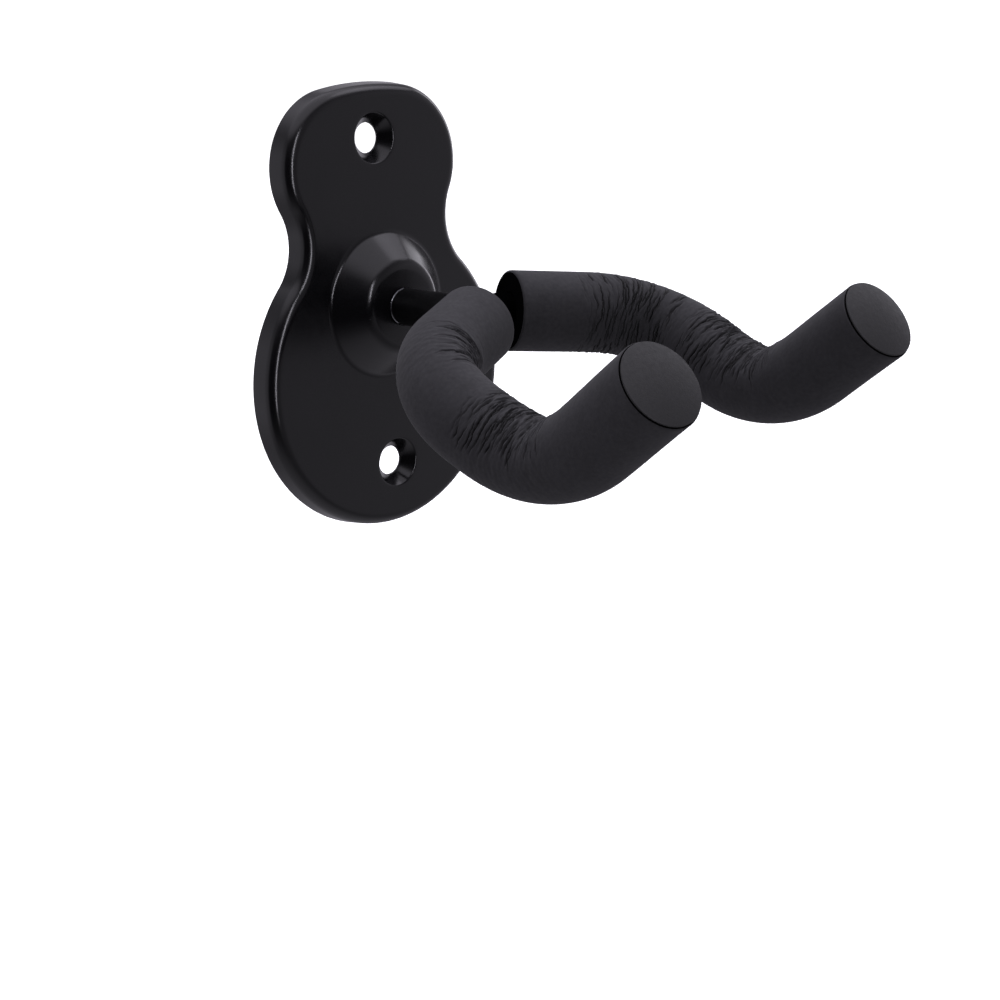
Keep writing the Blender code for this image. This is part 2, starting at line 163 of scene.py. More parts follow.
# The room's tones. By bearing, positions go round from behind (0) by the left (0.25), the front (0.5) and
# the right (0.75), and by height from straight below (0) to straight above (1)
WORLD_BY_BEARING = (
    (0.0, 0.45),
    (0.13, 0.6),
    (0.24, 0.5),
    (0.29, 0.02),
    (0.42, 0.02),
    (0.56, 0.24),
    (0.64, 0.42),
    (0.8, 0.5),
    (1.0, 0.45),
)
WORLD_BY_HEIGHT = ((0.0, 0.45), (0.3, 0.16), (0.5, 0.12), (0.78, 0.15), (0.92, 1.0))


# ---------------------------------------------------------------- mesh building


class Shape:
    """Points and faces gathered from grids, which then become one mesh."""

    def __init__(self):
        self.points, self.faces, self.slots, self.creases = [], [], [], []

    def add(self, points, creases=None):
        first = len(self.points)
        self.points.extend(np.asarray(points, float).reshape(-1, 3).tolist())
        count = len(self.points) - first
        self.creases.extend(np.zeros(count) if creases is None else np.ravel(creases))
        return first

    def grid(self, rows, loop=False, slots=None, creases=None):
        """Quads between rows of points. Each row is a closed ring, and loop joins the last to the first."""
        rows = np.asarray(rows, float)
        count, around = rows.shape[:2]
        first = self.add(rows, creases)
        for i in range(count if loop else count - 1):
            here = first + i * around
            there = first + (i + 1) % count * around
            for j in range(around):
                k = (j + 1) % around
                self.faces.append((here + j, here + k, there + k, there + j))
            self.slots += [slots[i] if slots else 0] * around
        return first

    def flat(self, outline, holes, height):
        """Triangles that fill an outline in (x, z) round its holes, at one height above the wall."""
        rings = [outline, *holes]
        points = [Vector(p) for ring in rings for p in ring]
        edges, start = [], 0
        for ring in rings:
            count = len(ring)
            edges += [(start + i, start + (i + 1) % count) for i in range(count)]
            start += count
        made, _, faces, *_ = delaunay_2d_cdt(points, edges, [], 0, 1e-7)
        centres = [sum((made[i] for i in face), Vector((0.0, 0.0))) / len(face) for face in faces]
        first = self.add([(p.x, -height, p.y) for p in made])
        for face, centre in zip(faces, centres, strict=True):
            if inside(centre, outline) and not any(inside(centre, hole) for hole in holes):
                self.faces.append(tuple(first + i for i in face))
                self.slots.append(0)

    def piece(self, name, finishes, sharp=35.0, weighted=False):
        mesh = bpy.data.meshes.new(name)
        mesh.from_pydata(self.points, [], self.faces)
        mesh.polygons.foreach_set("material_index", self.slots)
        # Each point's crease depth, which the foam reads to paint shade into its creases
        if any(self.creases):
            mesh.attributes.new("crease_depth", "FLOAT", "POINT").data.foreach_set("value", self.creases)
        work = bmesh.new()
        work.from_mesh(mesh)
        bmesh.ops.remove_doubles(work, verts=work.verts, dist=0.002 * MM)
        bmesh.ops.recalc_face_normals(work, faces=work.faces)
        work.to_mesh(mesh)
        work.free()
        mesh.shade_smooth()
        mesh.set_sharp_from_angle(angle=math.radians(sharp))
        for finish in finishes:
            mesh.materials.append(finish)
        obj = bpy.data.objects.new(name, mesh)
        bpy.context.scene.collection.objects.link(obj)
        if weighted:
            modifier = obj.modifiers.new("weighted normals", "WEIGHTED_NORMAL")
            modifier.keep_sharp = True
        return obj


def inside(point, ring):
    """Whether a point lies in a closed ring of points, by counting crossings."""
    hit = False
    for (x0, y0), (x1, y1) in zip(ring, [*ring[1:], ring[0]]):
        if (y0 > point.y) != (y1 > point.y):
            if point.x < (x1 - x0) * (point.y - y0) / (y1 - y0) + x0:
                hit = not hit
    return hit


def arc(centre, radius, start, end, count):
    angles = [start + (end - start) * i / count for i in range(count + 1)]
    return [(centre[0] + radius * math.cos(a), centre[1] + radius * math.sin(a)) for a in angles]


def rounded(profile, radius, steps=4, closed=True):
    """A profile with its corners rounded off, each by an arc that touches both of its sides."""
    made = []
    points = [Vector(p) for p in profile]
    count = len(points)
    for i, corner in enumerate(points):
        if not closed and i in (0, count - 1):
            made.append(tuple(corner))
            continue
        before, after = points[i - 1] - corner, points[(i + 1) % count] - corner
        turn = math.pi - before.angle(after)
        cut = min(radius * math.tan(turn / 2), 0.45 * before.length, 0.45 * after.length)
        start, end = corner + before.normalized() * cut, corner + after.normalized() * cut
        for k in range(steps + 1):
            t = k / steps
            made.append(tuple(start * (1 - t) ** 2 + corner * 2 * t * (1 - t) + end * t * t))
    return made


def ring_points(radius, height, steps=ROUND_STEPS):
    """A ring round the swivel axis. Radius and height are numbers, or one value for each step."""
    angle = np.arange(steps) * math.tau / steps
    radius, height = np.broadcast_to(radius, steps), np.broadcast_to(height, steps)
    return np.stack([radius * np.cos(angle), -height, radius * np.sin(angle)], 1)


def turned_shape(profile, steps=ROUND_STEPS):
    """A closed profile of (radius, height) turned about the swivel axis."""
    shape = Shape()
    shape.grid([ring_points(radius, height, steps) for radius, height in profile], loop=True)
    return shape


def settle(obj, body, node):
    """Turns a yoke piece to the angle it hangs at, and hands it to the frame."""
    if body == "yoke":
        obj.data.transform(Matrix.Rotation(YOKE_TURN, 4, "Y"))
    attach(obj, body)
    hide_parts(node)


# ---------------------------------------------------------------- materials


class Finish:
    """A material under construction: its Principled shader and short calls for the nodes round it."""

    def __init__(self, name, colour, roughness, metallic=0.0, **sockets):
        self.material = bpy.data.materials.new(name)
        self.material.use_nodes = True
        self.tree = self.material.node_tree
        self.shader = self.tree.nodes["Principled BSDF"]
        self.shader.inputs["Base Color"].default_value = (*colour, 1.0)
        self.shader.inputs["Roughness"].default_value = roughness
        self.shader.inputs["Metallic"].default_value = metallic
        for socket, value in sockets.items():
            self.shader.inputs[socket.replace("_", " ")].default_value = value
        self.place = self.tree.nodes.new("ShaderNodeTexCoord").outputs["Object"]

    def node(self, kind, inputs=None, **settings):
        made = self.tree.nodes.new(kind)
        for name, value in settings.items():
            setattr(made, name, value)
        for name, value in (inputs or {}).items():
            if isinstance(value, bpy.types.NodeSocket):
                self.tree.links.new(value, made.inputs[name])
            else:
                made.inputs[name].default_value = value
        return made

    def noise(self, size, detail=3.0, stretch=None, roughness=0.5):
        """Noise whose blotches are about this size across, in metres."""
        place = self.place
        if stretch:
            place = self.node("ShaderNodeMapping", {"Vector": place, "Scale": stretch}).outputs[0]
        inputs = {"Vector": place, "Scale": 1.0 / size, "Detail": detail, "Roughness": roughness}
        return self.node("ShaderNodeTexNoise", inputs).outputs["Fac"]

    def ramp(self, value, low, high, start=0.3, end=0.7):
        """A value between low and high, as the input goes from start to end."""
        inputs = {"Value": value, "From Min": start, "From Max": end, "To Min": low, "To Max": high}
        return self.node("ShaderNodeMapRange", inputs).outputs[0]

    def mix(self, share, first, second):
        """A colour between two, each of which is a node's output or three numbers."""
        made = self.node("ShaderNodeMix", {0: share}, data_type="RGBA")
        for index, source in ((6, first), (7, second)):
            if isinstance(source, bpy.types.NodeSocket):
                self.tree.links.new(source, made.inputs[index])
            else:
                made.inputs[index].default_value = (*source, 1.0)
        return made.outputs[2]

    def blend(self, value, first, second, start=0.3, end=0.7):
        """A colour between two, as the input goes from start to end."""
        return self.mix(self.ramp(value, 0.0, 1.0, start, end), first, second)

    def colour(self, output):
        self.tree.links.new(output, self.shader.inputs["Base Color"])

    def roughness(self, output):
        self.tree.links.new(output, self.shader.inputs["Roughness"])

    def bump(self, *layers):
        """Stacks bumps, each from a height output and its depth in metres."""
        normal = None
        for height, depth in layers:
            inputs = {"Height": height, "Distance": depth, "Strength": 1.0}
            if normal:
                inputs["Normal"] = normal
            normal = self.node("ShaderNodeBump", inputs).outputs[0]
        self.tree.links.new(normal, self.shader.inputs["Normal"])


def plate_paint():
    """Baked semi-gloss black, cloudy in tone and very slightly uneven."""
    made = Finish("plate paint", (0.005, 0.005, 0.0058), 0.2, Specular_IOR_Level=0.5)
    cloud = made.noise(14 * MM, detail=4.0)
    made.colour(made.blend(cloud, (0.0042, 0.0041, 0.005), (0.0062, 0.006, 0.0072)))
    made.roughness(made.ramp(made.noise(3.0 * MM, detail=5.0), 0.17, 0.22))
    made.bump((made.noise(1.6 * MM, detail=1.0), 0.004 * MM), (made.noise(0.25 * MM), 0.0008 * MM))
    return made.material


def rod_paint(name, tone, specular):
    """Satin black paint, from a darker to a lighter shade of one tone."""
    made = Finish(name, (tone, tone, tone), 0.4, Specular_IOR_Level=specular)
    light = (tone * 1.3, tone * 1.3, tone * 1.4)
    made.colour(made.blend(made.noise(5 * MM), (tone * 0.7, tone * 0.7, tone * 0.8), light))
    made.roughness(made.ramp(made.noise(1.2 * MM, detail=5.0), 0.36, 0.48))
    made.bump((made.noise(0.9 * MM, detail=2.0), 0.008 * MM))
    return made.material


def zinc(name, light, dark):
    """Plated steel with a faint turned grain and dull spots."""
    made = Finish(name, light, 0.28, metallic=1.0)
    spots = made.noise(2.2 * MM, detail=5.0, roughness=0.6)
    made.colour(made.blend(spots, dark, light, 0.35, 0.6))
    grain = made.noise(0.4 * MM, detail=2.0, stretch=(1.0, 9.0, 1.0))
    made.roughness(made.ramp(grain, 0.2, 0.4))
    made.bump((grain, 0.002 * MM))
    return made.material


def nylon():
    made = Finish("nylon", (0.74, 0.75, 0.7), 0.42, Subsurface_Weight=0.2, Subsurface_Scale=0.6 * MM)
    made.colour(made.blend(made.noise(1.5 * MM), (0.7, 0.71, 0.66), (0.78, 0.79, 0.74)))
    made.roughness(made.ramp(made.noise(0.5 * MM), 0.36, 0.5))
    return made.material


def foam(name, light, dark, pore_depth, sheen, specular=0.5, dull=(0.78, 0.92)):
    """Closed-cell foam rubber: matte, faintly mottled, with a skin of very fine pores.

    It has painted shade down in its creases, darker by the depth that the mesh holds at each point.
    """
    made = Finish(name, light, 0.85, Sheen_Weight=sheen, Sheen_Roughness=0.45, Specular_IOR_Level=specular)
    mottle = made.noise(4.5 * MM, detail=5.0, roughness=0.6)
    plain = made.blend(mottle, dark, light, 0.35, 0.65)
    depth = made.node("ShaderNodeAttribute", attribute_name="crease_depth").outputs["Fac"]
    # Paints shade into the creases: the deeper the cut at a point, the nearer its colour goes to the painted
    # crease shade
    made.colour(made.mix(made.ramp(depth, 0.0, 0.92, 0.03, 0.22), plain, CREASE_SHADE_COLOUR))
    made.roughness(made.ramp(made.noise(0.9 * MM), *dull))
    made.bump((made.noise(0.32 * MM, detail=3.0), pore_depth), (made.noise(1.1 * MM), pore_depth))
    return made.material


# ---------------------------------------------------------------- wall plate


def plate_outline(inset):
    """The closed guitar-shaped outline in (x, z): four tangent arcs a side, moved in by inset."""
    lower = Vector((0.0, LOWER_Z))
    shoulder = Vector((SHOULDER_X, SHOULDER_Z))
    to_lower, to_shoulder = LOWER_RADIUS + WAIST_RADIUS, SHOULDER_RADIUS + WAIST_RADIUS
    between = shoulder - lower
    along = (to_lower**2 - to_shoulder**2 + between.length_squared) / (2 * between.length)
    aside = math.sqrt(to_lower**2 - along**2)
    direction = between.normalized()
    waist = lower + direction * along + Vector((direction.y, -direction.x)) * aside
    drop = math.sqrt((CROWN_RADIUS - SHOULDER_RADIUS) ** 2 - SHOULDER_X**2)
    crown = Vector((0.0, SHOULDER_Z - drop))

    def bearing(a, b):
        return math.atan2(b.y - a.y, b.x - a.x)

    def stretch(centre, radius, start, end):
        return arc(centre, radius, start, end, max(2, round(abs(end - start) / OUTLINE_STEP)))

    low_turn = bearing(lower, waist)
    waist_in, waist_out = bearing(waist, lower), bearing(waist, shoulder)
    high_turn, crown_turn = bearing(shoulder, waist), bearing(crown, shoulder)
    half = stretch(lower, LOWER_RADIUS - inset, -math.pi / 2, low_turn)
    half += stretch(waist, WAIST_RADIUS + inset, waist_in % math.tau, waist_out % math.tau)[1:]
    half += stretch(shoulder, SHOULDER_RADIUS - inset, high_turn, crown_turn)[1:]
    half += stretch(crown, CROWN_RADIUS - inset, crown_turn, math.pi / 2)[1:]
    return half + [(-x, z) for x, z in reversed(half[1:-1])]


def skirt_rows(depth):
    """Rings of (inset, height) from the back rim up the flared skirt, over the rolled edge to the front.

    The side leans in as it rises, and the roll touches both the side and the front.
    """
    front, radius = PLATE_HEIGHT - depth, EDGE_RADIUS - depth
    lean = math.atan(SKIRT_FLARE / PLATE_HEIGHT)
    aside = depth / math.cos(lean)

    def side_inset(height):
        return aside - SKIRT_FLARE * (1 - height / PLATE_HEIGHT)

    level = front - radius
    centre = side_inset(level) + radius / math.cos(lean)
    top = level + radius * math.sin(lean)
    side = [(side_inset(top * t), top * t) for t in SKIRT_STOPS]
    roll = [
        (centre - radius * math.cos(a), level + radius * math.sin(a))
        for a in np.linspace(lean, math.pi / 2, EDGE_STEPS)
    ]
    return [*side, *roll, (centre + FACE_BAND, front)]


def dome_rows(inside_by):
    """The dome's section from the plate's face up its flank to its hole, for the front or the back skin."""
    face = PLATE_HEIGHT - inside_by
    foot_radius = DOME_FOOT_RADIUS + inside_by
    shoulder_radius = DOME_SHOULDER_RADIUS - inside_by
    centre = (DOME_FLAT_RADIUS, DOME_HEIGHT - DOME_SHOULDER_RADIUS)
    shoulder = arc(centre, shoulder_radius, math.pi / 2 - DOME_SLOPE, math.pi / 2, DOME_STEPS)
    x, z = shoulder[0]
    corner = x + (z - face) / math.tan(DOME_SLOPE)
    foot_centre = (corner + foot_radius * math.tan(DOME_SLOPE / 2), face + foot_radius)
    foot = arc(foot_centre, foot_radius, -math.pi / 2, -math.pi / 2 - DOME_SLOPE, DOME_STEPS)
    top = DOME_HEIGHT - inside_by
    flat = [(DOME_HOLE_RADIUS + (DOME_FLAT_RADIUS - DOME_HOLE_RADIUS) * t, top) for t in (0.9, 0.5, 0.1)]
    return [(foot[0][0] + FACE_BAND, face), *foot, *shoulder, *flat, (DOME_HOLE_RADIUS, top)]


def dimple_rows(back):
    """A countersunk dimple's section, from the plate's face down its cone to the edge of its hole."""
    slope = (DIMPLE_RADIUS - SCREW_HOLE_RADIUS) / DIMPLE_DEPTH
    thick = SHEET if back else 0.0
    aside = SHEET * (math.hypot(1.0, slope) - slope) if back else 0.0
    foot = PLATE_HEIGHT - DIMPLE_DEPTH - (SHEET * 0.5 if back else 0.0)
    face = PLATE_HEIGHT - thick
    mouth = DIMPLE_RADIUS + aside
    low = mouth - (face - foot) * slope
    section = [(mouth + DIMPLE_BAND, face), (mouth, face), (low, foot)]
    if back:
        section += [(SCREW_HOLE_RADIUS, foot)]
    return rounded(section, DIMPLE_LIP if back else 2.0 * DIMPLE_LIP, 6, closed=False)


def circle(radius, z):
    """A circle in (x, z) whose centre is on the plate's centre line."""
    angles = [math.tau * i / ROUND_STEPS for i in range(ROUND_STEPS)]
    return [(radius * math.cos(a), z + radius * math.sin(a)) for a in angles]


def outline_rings(rows):
    """The plate's outline at each (inset, height)."""
    return [[(x, -height, z) for x, z in plate_outline(inset)] for inset, height in rows]


def round_rings(rows, centre_z):
    """A circle round one point of the plate at each (radius, height)."""
    return [[(x, -height, z) for x, z in circle(radius, centre_z)] for radius, height in rows]


def make_plate(finish):
    """The sheet's front and back skins, each of skirt, face, dome and dimples, and the edges between them."""
    shape = Shape()
    edges = []
    for back in (False, True):
        depth = SHEET if back else 0.0
        skirt, dome, dimple = skirt_rows(depth), dome_rows(depth), dimple_rows(back)
        shape.grid(outline_rings(skirt))
        shape.grid(round_rings(dome, 0.0))
        for screw_z in SCREW_Z:
            shape.grid(round_rings(dimple, screw_z))
        holes = [circle(dome[0][0], 0.0), *(circle(dimple[0][0], z) for z in SCREW_Z)]
        shape.flat(plate_outline(skirt[-1][0]), holes, PLATE_HEIGHT - depth)
        edges.append((skirt[0], dome[-1], dimple[-1]))
    rims, dome_ends, dimple_ends = zip(*edges)
    shape.grid(outline_rings(rims))
    shape.grid(round_rings(dome_ends, 0.0))
    for screw_z in SCREW_Z:
        shape.grid(round_rings(dimple_ends, screw_z))
    obj = shape.piece("plate_sheet", [finish], sharp=40.0, weighted=True)
    settle(obj, "plate", "wall_plate")


# ---------------------------------------------------------------- swivel


def make_bush(finish):
    """The bush, whose sleeve lines the hole and shows as a thin ring. Returns the washer's height."""
    flange_top = DOME_HEIGHT - SHEET - GAP
    sleeve = DOME_HOLE_RADIUS - GAP
    profile = [
        (sleeve, DOME_HEIGHT),
        (sleeve, flange_top),
        (BUSH_FLANGE_RADIUS, flange_top),
        (BUSH_FLANGE_RADIUS, flange_top - BUSH_FLANGE),
        (BORE_RADIUS, flange_top - BUSH_FLANGE),
        (BORE_RADIUS, DOME_HEIGHT),
    ]
    obj = turned_shape(rounded(profile, 0.15 * MM)).piece("swivel_bush", [finish])
    settle(obj, "plate", "stem_bush")
    return flange_top - BUSH_FLANGE - GAP


def make_washers(top, zinc_finish, spring_finish):
    """The flat thrust washer and the wave washer behind it. Returns where the nut's face is."""
    foot = top - WASHER
    section = [(WASHER_RADIUS, top), (WASHER_RADIUS, foot), (BORE_RADIUS, foot), (BORE_RADIUS, top)]
    obj = turned_shape(rounded(section, 0.15 * MM)).piece("washer_flat", [zinc_finish])
    settle(obj, "plate", "thrust_washer")
    crest = foot - GAP - WAVE_HEIGHT
    low, outer = crest - WAVE_WASHER, WASHER_RADIUS - GAP
    section = rounded([(outer, crest), (outer, low), (BORE_RADIUS, low), (BORE_RADIUS, crest)], 0.1 * MM)
    wave = WAVE_HEIGHT * np.cos(WAVES * np.arange(ROUND_STEPS) * math.tau / ROUND_STEPS)
    shape = turned_shape([(radius, height + wave) for radius, height in section])
    obj = shape.piece("washer_wave", [spring_finish])
    settle(obj, "yoke", "wave_washer")
    return low - WAVE_HEIGHT - GAP


def thread_radius(radius, height, steps):
    """A radius for each step round a thread, at one height: the crests climb by one pitch a turn."""
    turn = (height / THREAD_PITCH + np.arange(steps) / steps) % 1.0
    return radius - THREAD_DEPTH * (1 - np.abs(2 * turn - 1)) * 0.9


def make_nut(top, zinc_finish, nylon_finish):
    """The hexagon nut with its chamfers and collar, and the nylon ring in the collar."""
    half = NUT_ACROSS_FLATS / 2
    beyond = half / math.cos(math.pi / 6) - half
    angle = np.arange(NUT_STEPS) * math.tau / NUT_STEPS
    flats = half / np.cos((angle % (math.pi / 3)) - math.pi / 6)
    foot = top - NUT_HEIGHT
    end = foot - NUT_COLLAR
    rows = [(BORE_RADIUS + 0.3 * MM, top), (half - 0.2 * MM, top)]
    chamfer = [(np.minimum(flats, half + t * beyond), NUT_CHAMFER * t * beyond) for t in np.linspace(0, 1, 8)]
    rows += [(radius, top - depth) for radius, depth in chamfer]
    rows += [(radius, foot + depth) for radius, depth in reversed(chamfer)]
    bend = 0.5 * MM
    rows += [(NUT_COLLAR_RADIUS, foot - 0.1 * MM), (NUT_COLLAR_RADIUS, end + bend)]
    rows += arc((NUT_COLLAR_RADIUS - bend, end + bend), bend, 0.0, -math.pi / 2, 6)[1:]
    recess = end + INSERT + 2 * GAP
    rows += [(INSERT_RADIUS + GAP, end), (INSERT_RADIUS + GAP, recess), (BORE_RADIUS + 0.2 * MM, recess)]
    rows += [(BORE_RADIUS + 0.2 * MM, recess + (top - 0.3 * MM - recess) * t) for t in (0.1, 0.5, 0.9)]
    obj = turned_shape(rows, NUT_STEPS).piece("nut_hexagon", [zinc_finish], sharp=25.0)
    settle(obj, "yoke", "lock_nut")
    low = end + GAP
    high = low + INSERT
    section = [(INSERT_RADIUS, high), (INSERT_RADIUS, low), (BORE_RADIUS, low), (BORE_RADIUS, high)]
    obj = turned_shape(rounded(section, 0.2 * MM)).piece("nut_ring", [nylon_finish])
    settle(obj, "yoke", "nut_insert")


def make_stem(thread_top, finish, thread_finish):
    """The stem with its shoulder and journal, and the threaded stud behind the dome."""
    shoulder = DOME_HEIGHT + GAP
    front = -YOKE_CENTRE.y - ROD_RADIUS * 0.6
    rows = [(0.0, front), (STEM_RADIUS, front), (STEM_RADIUS, front - 1.0 * MM)]
    rows += [(STEM_RADIUS, shoulder + 0.4 * MM), (STEM_RADIUS - 0.1 * MM, shoulder + 0.15 * MM)]
    rows += [(STEM_RADIUS - 0.35 * MM, shoulder), (JOURNAL_RADIUS, shoulder)]
    rows += [(JOURNAL_RADIUS, thread_top)]
    plain = len(rows)
    heights = np.linspace(thread_top - 0.1 * MM, STUD_END + 0.5 * MM, THREAD_ROWS)
    rows += [(thread_radius(JOURNAL_RADIUS, height, ROUND_STEPS), height) for height in heights]
    rows += [(JOURNAL_RADIUS - THREAD_DEPTH, STUD_END), (0.0, STUD_END)]
    slots = [int(i >= plain - 2) for i in range(len(rows) - 1)]
    shape = Shape()
    shape.grid([ring_points(radius, height) for radius, height in rows], slots=slots)
    obj = shape.piece("stem_bar", [finish, thread_finish], sharp=40.0)
    settle(obj, "yoke", "stem")


# ---------------------------------------------------------------- yoke


class Route:
    """A centre line of straight runs and arcs between corners, asked for by distance along it."""

    def __init__(self, corners, radii, beyond=0.0):
        self.parts, self.bends = [], []
        here, distance = corners[0], 0.0
        for before, corner, after, radius in zip(corners, corners[1:], corners[2:], radii):
            arriving = (corner - before).normalized()
            leaving = (after - corner).normalized()
            turn = arriving.angle(leaving)
            inward = (leaving - arriving * arriving.dot(leaving)).normalized()
            begin = corner - arriving * radius * math.tan(turn / 2)
            run = (begin - here).length
            self.parts.append((distance, here, arriving, None, 0.0))
            distance += run
            self.parts.append((distance, begin, arriving, inward, radius))
            middle = arriving * -math.sin(turn / 2) + inward * math.cos(turn / 2)
            self.bends.append((distance, turn, radius, middle))
            distance += radius * turn
            here = corner + leaving * radius * math.tan(turn / 2)
        last = (corners[-1] - corners[-2]).normalized()
        self.parts.append((distance, here, last, None, 0.0))
        self.length = distance + (corners[-1] - here).length + beyond

    def at(self, distance):
        """The point and the direction at a distance along the line."""
        part = self.parts[0]
        for candidate in self.parts:
            if candidate[0] <= distance:
                part = candidate
        start, begin, direction, inward, radius = part
        along = distance - start
        if inward is None:
            return begin + direction * along, direction
        angle = along / radius
        point = begin + direction * radius * math.sin(angle) + inward * radius * (1 - math.cos(angle))
        return point, (direction * math.cos(angle) + inward * math.sin(angle)).normalized()

    def frames(self, distances):
        """Points and two cross directions for each distance, turned as little as possible on the way."""
        places, sides, ups = [], [], []
        side = None
        for distance in distances:
            point, direction = self.at(distance)
            if side is None:
                side = direction.orthogonal().normalized()
            side = (side - direction * side.dot(direction)).normalized()
            places.append(point)
            sides.append(side)
            ups.append(direction.cross(side))
        return np.array(places), np.array(sides), np.array(ups)


def arm_route(side):
    flip = Vector((SIDE[side], 1.0, 1.0))
    corners = [p * flip for p in (YOKE_CENTRE, FIRST_CORNER, SECOND_CORNER, ARM_END)]
    return Route(corners, BEND_RADII, SLEEVE_BEYOND[side])


def tube_rows(route, rows, steps):
    """Rings along a route. Each row is a distance along it and a radius, or a radius for each step."""
    distances = [distance for distance, _ in rows]
    order = sorted(set(distances))
    frames = dict(zip(order, zip(*route.frames(order)), strict=True))
    angle = np.arange(steps) * math.tau / steps
    cos, sin = np.cos(angle)[:, None], np.sin(angle)[:, None]
    made = []
    for distance, radius in rows:
        place, side, up = frames[distance]
        radius = np.broadcast_to(radius, steps)[:, None]
        made.append(place + radius * (cos * side + sin * up))
    return made


def make_rod(finish):
    """The rod: its two arms, joined by a tight bend in front of the stem."""
    reach = [p * Vector((-1.0, 1.0, 1.0)) for p in (ARM_END, SECOND_CORNER, FIRST_CORNER)]
    corners = [*reach, YOKE_CENTRE, FIRST_CORNER, SECOND_CORNER, ARM_END]
    route = Route(corners, (BEND_RADII[1], BEND_RADII[0], ROD_MIDDLE_RADIUS, *BEND_RADII))
    start, end = PLUG_LENGTH + 2 * GAP, route.length - PLUG_LENGTH - 2 * GAP
    rows = [(start, 0.0), (start, ROD_RADIUS - ROD_ROUNDING)]
    rows += [(d, ROD_RADIUS) for d in np.linspace(start + ROD_ROUNDING, end - ROD_ROUNDING, ROD_ROWS)]
    rows += [(end, ROD_RADIUS - ROD_ROUNDING), (end, 0.0)]
    shape = Shape()
    shape.grid(tube_rows(route, rows, ROD_STEPS))
    settle(shape.piece("rod_bent", [finish]), "yoke", "yoke_rod")


def make_weld(finish):
    """The weld's ripples, laid where the stem's end meets the back of the rod."""
    lumps = np.random.default_rng(WELD_SEED).uniform(-1.0, 1.0, 9)
    turn = np.arange(WELD_STEPS) * math.tau / WELD_STEPS
    rows = []
    for i in range(WELD_ROWS):
        angle = math.tau * i / WELD_ROWS
        across = min(1.0, abs(STEM_RADIUS * math.sin(angle)) / ROD_RADIUS)
        height = -YOKE_CENTRE.y - ROD_RADIUS * math.sqrt(1 - 0.8 * across**2)
        ripple = 0.12 * abs(math.sin(angle * 13))
        swell = sum(a * math.sin((k + 2) * angle) for k, a in enumerate(lumps)) * 0.03
        thick = WELD_THICKNESS * (0.88 + ripple + swell)
        outward = np.array([math.cos(angle), 0.0, math.sin(angle)])
        centre = outward * (STEM_RADIUS + 0.05 * MM) + np.array([0.0, -height, 0.0])
        along = np.array([0.0, 1.0, 0.0])
        rows.append(centre + thick * (np.cos(turn)[:, None] * outward + np.sin(turn)[:, None] * along))
    shape = Shape()
    shape.grid(rows, loop=True)
    settle(shape.piece("weld_ripples", [finish]), "yoke", "weld_bead")


# ---------------------------------------------------------------- foam


def crease(s, theta, rng, place, toward, spread, depth):
    """One crease: a wavering cut across the arm, in a shallow valley, with a slight swell on both sides."""
    centre = toward + spread * rng.uniform(-0.8, 0.8)
    half = spread * rng.uniform(0.08, 0.34)
    width = rng.uniform(0.12, 0.17) * MM
    off = (theta - centre + math.pi) % math.tau - math.pi
    across = (theta - toward + math.pi) % math.tau - math.pi
    line = place + rng.normal() * 0.45 * MM * off + 0.5 * MM * np.sin(3.3 * across + 180.0 * place)
    for waves, size in ((rng.uniform(6, 11), 0.16), (rng.uniform(18, 30), 0.09)):
        line = line + size * MM * np.sin(waves * off + rng.uniform(0, math.tau))
    near = np.abs(s - place) < 3.5 * MM
    u = np.abs(s[near, None] - line[None, :]) / width
    reach_round = depth * np.clip(1.0 - (off / half) ** 2, 0.0, None)[None, :]
    cut = reach_round * np.exp(-(u**2))
    swell = reach_round * (0.3 * np.exp(-(((u - 2.8) / 1.6) ** 2)) - 0.2 * np.exp(-((u / 2.5) ** 2)))
    return near, cut, swell


def pucker(s, theta, middle, reach, spread, toward, rng):
    """Low swells between the creases."""
    off = (theta - toward + math.pi) % math.tau - math.pi
    band = np.exp(-(((s - middle) / reach) ** 2))[:, None] * np.exp(-((off / spread) ** 2))[None, :]
    made = np.zeros((len(s), len(theta)))
    for pitch, size in ((1.25, 0.06), (1.9, 0.07), (3.4, 0.08)):
        sway = 0.5 * np.sin(off * rng.uniform(3, 6) + rng.uniform(0, 6))
        sway = sway + 0.25 * np.sin(off * rng.uniform(9, 14) + rng.uniform(0, 6))
        phase = math.tau * (s[:, None] / MM + sway[None, :]) / pitch
        made += size * MM * np.sin(phase + rng.uniform(0, 6))
    return made * band


